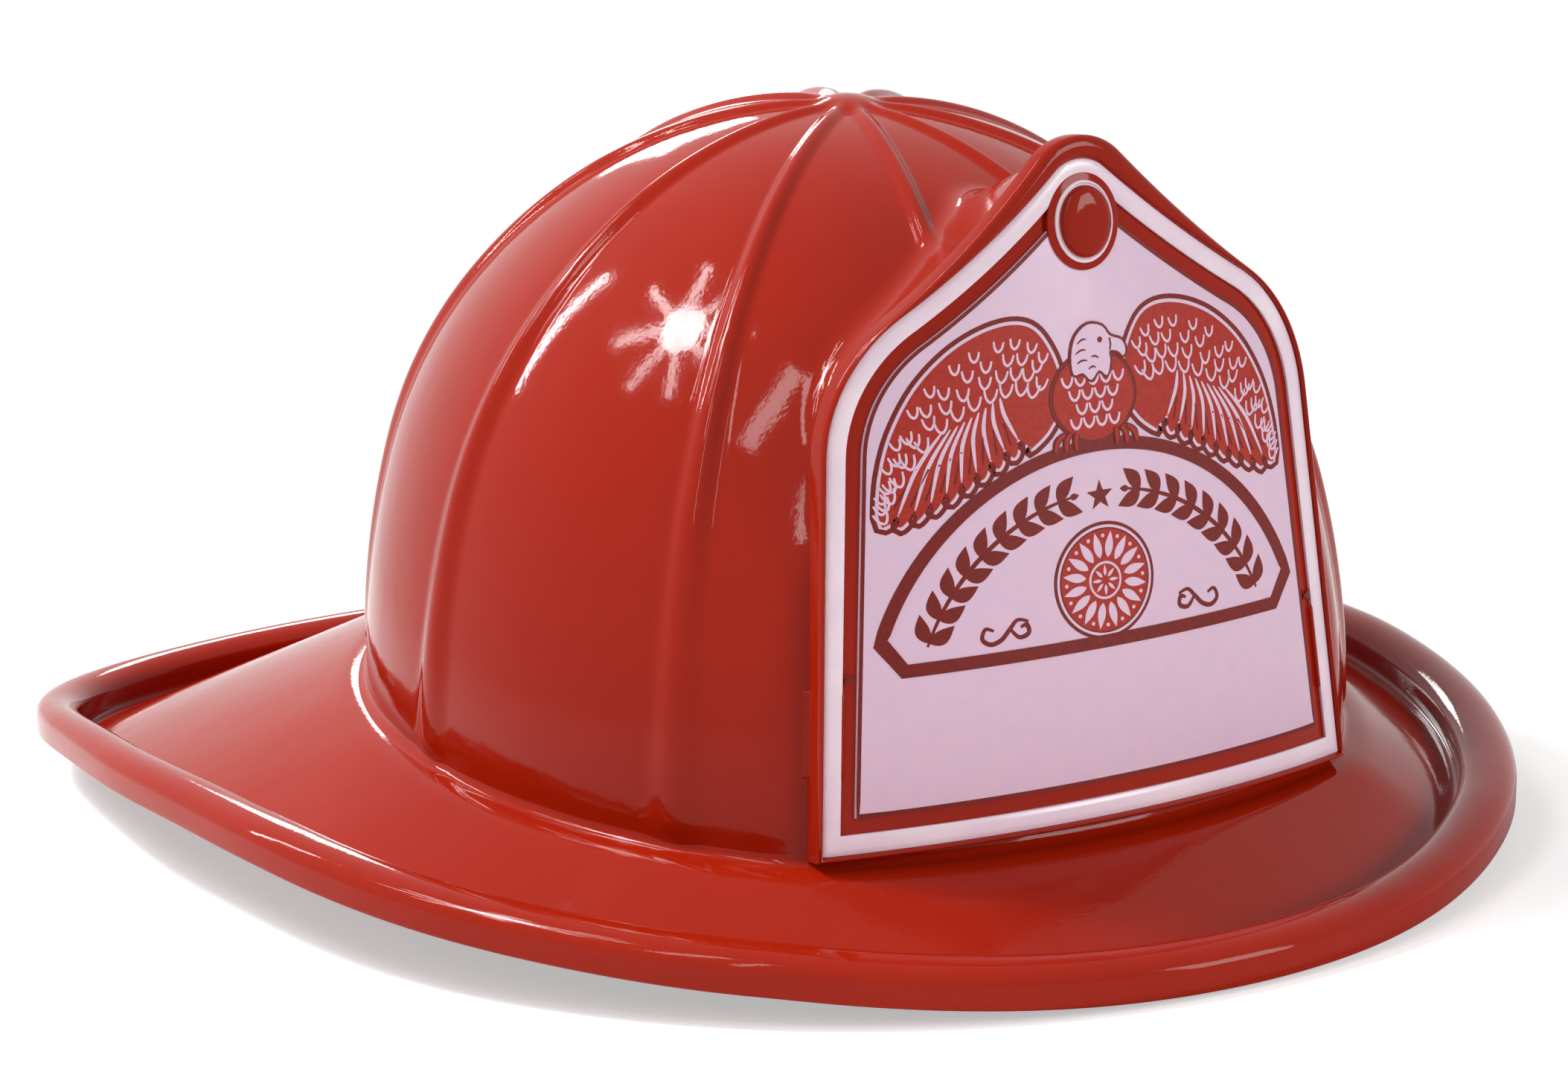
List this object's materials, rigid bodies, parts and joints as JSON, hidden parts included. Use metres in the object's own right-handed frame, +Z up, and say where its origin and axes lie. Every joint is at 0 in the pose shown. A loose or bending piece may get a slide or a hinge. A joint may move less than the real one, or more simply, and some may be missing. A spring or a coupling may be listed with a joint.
{
  "type": "firefighter helmet",
  "caption": "Red ribbed fire helmet with a tall white-faced frontpiece, a long tail brim, webbing suspension and a geared size-adjusting headband.",
  "frame": {"origin": "centre of the head opening, in the plane where the crown meets the brim", "axes": "+Z up, front of the helmet towards -Y, tail of the brim towards +Y, wearer's right towards -X"},
  "size_m": [0.2995, 0.372, 0.1915],
  "materials": {
    "red_plastic": "glossy injection-moulded red",
    "white_print": "satin lilac-white face with a printed ornament",
    "spring_steel": "bright spring steel",
    "screw_steel": "zinc-plated",
    "black_plastic": "fine-grained black",
    "grey_plastic": "satin dark grey",
    "webbing": "plain woven black tape",
    "pad_fabric": "knitted sweat pad over foam"
  },
  "bodies": {
    "helmet": {"shell": "red_plastic", "frontpiece": "red_plastic", "shield_border": "white_print", "shield_face": "white_print", "peak_stud": "red_plastic", "stud_ring": "white_print", "push_nuts": "spring_steel", "headband": "black_plastic", "ratchet_base": "black_plastic", "ratchet_cover": "black_plastic", "cover_screws": "screw_steel", "strap_studs": "grey_plastic", "suspension_key_rear_left": "grey_plastic", "suspension_key_front_left": "grey_plastic", "suspension_key_front_right": "grey_plastic", "suspension_key_rear_right": "grey_plastic", "crown_strap_lower": "webbing", "crown_strap_upper": "webbing", "crown_rivet": "grey_plastic", "brow_pad": "pad_fabric", "nape_pad": "pad_fabric"},
    "right_strap": {"size_strap_right": "black_plastic"},
    "left_strap": {"size_strap_left": "black_plastic"},
    "knob": {"size_knob": "grey_plastic", "pinion": "grey_plastic", "knob_screw": "screw_steel"}
  },
  "joints": [
    {"name": "knob_turn", "type": "hinge", "parent": "helmet", "child": "knob", "pos_m": [0, 0.1, 0.004], "axis": [0, 1, 0], "range_deg": [-170, 170]},
    {"name": "right_strap_slide", "type": "hinge", "parent": "helmet", "child": "right_strap", "pos_m": [0, 0.021, 0.004], "axis": [0, 0, 1], "range_deg": [-11, 11]},
    {"name": "left_strap_slide", "type": "hinge", "parent": "helmet", "child": "left_strap", "pos_m": [0, 0.021, 0.004], "axis": [0, 0, 1], "range_deg": [-11, 11]}
  ],
  "couplings": [
    {"joint": "right_strap_slide", "follows": "knob_turn", "ratio": -0.063857},
    {"joint": "left_strap_slide", "follows": "knob_turn", "ratio": 0.062657}
  ]
}
